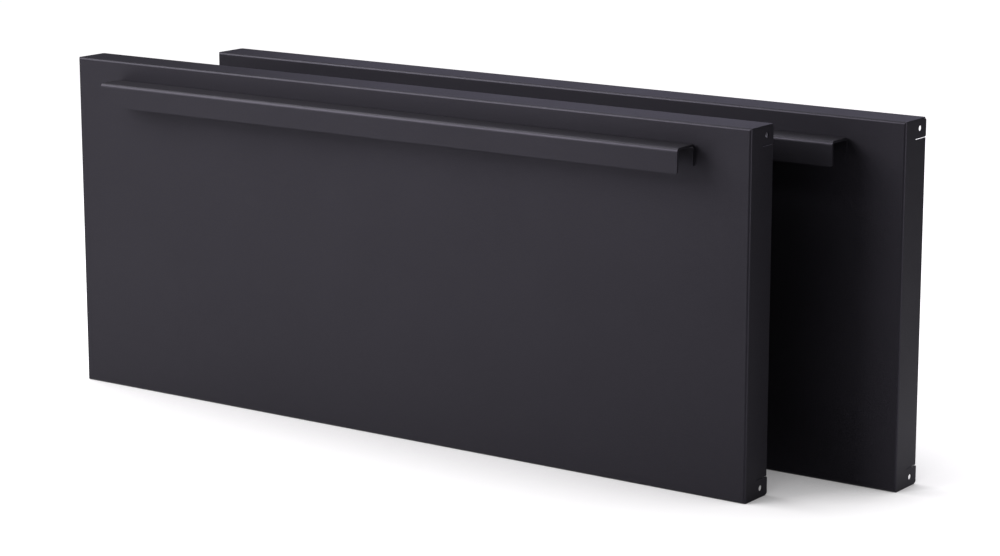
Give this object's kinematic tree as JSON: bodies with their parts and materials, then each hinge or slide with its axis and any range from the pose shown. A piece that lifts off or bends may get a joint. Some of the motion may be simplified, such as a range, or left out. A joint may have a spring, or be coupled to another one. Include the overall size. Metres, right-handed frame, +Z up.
{
  "type": "appliance drawer front pair",
  "caption": "Matching pair of black sheet-steel drawer fronts with full-width channel handles, standing one behind the other; open backs with stiffeners.",
  "frame": {"origin": "on the ground, at the middle of the box round both fronts", "axes": "+X along the width, to the right seen from the handles; +Y from front to back; +Z up"},
  "size_m": [1.0068, 0.201, 0.384],
  "materials": {
    "black_coat": "fine matte powder coat",
    "galvanised": "galvanised, dull",
    "zinc": "bright zinc plate",
    "tape": "matte foam tape",
    "damping": "matte bitumen pad"
  },
  "bodies": {
    "near_front": {"near_skin": "black_coat", "near_handle": "black_coat", "near_clinch_nuts": "zinc", "near_handle_screws": "zinc", "near_handle_washers": "zinc", "near_backing_strip": "galvanised", "near_top_rail": "galvanised", "near_bottom_rail": "galvanised", "near_stiffener_left": "galvanised", "near_stiffener_centre": "galvanised", "near_stiffener_right": "galvanised", "near_bonding_tape": "tape", "near_damping_pads": "damping"},
    "far_front": {"far_skin": "black_coat", "far_handle": "black_coat", "far_clinch_nuts": "zinc", "far_handle_screws": "zinc", "far_handle_washers": "zinc", "far_backing_strip": "galvanised", "far_top_rail": "galvanised", "far_bottom_rail": "galvanised", "far_stiffener_left": "galvanised", "far_stiffener_centre": "galvanised", "far_stiffener_right": "galvanised", "far_bonding_tape": "tape", "far_damping_pads": "damping"}
  },
  "joints": [
    {"name": "spacing_slide", "type": "slide", "parent": "near_front", "child": "far_front", "axis": [0, 1, 0], "range_m": [-0.045, 0.12]}
  ]
}
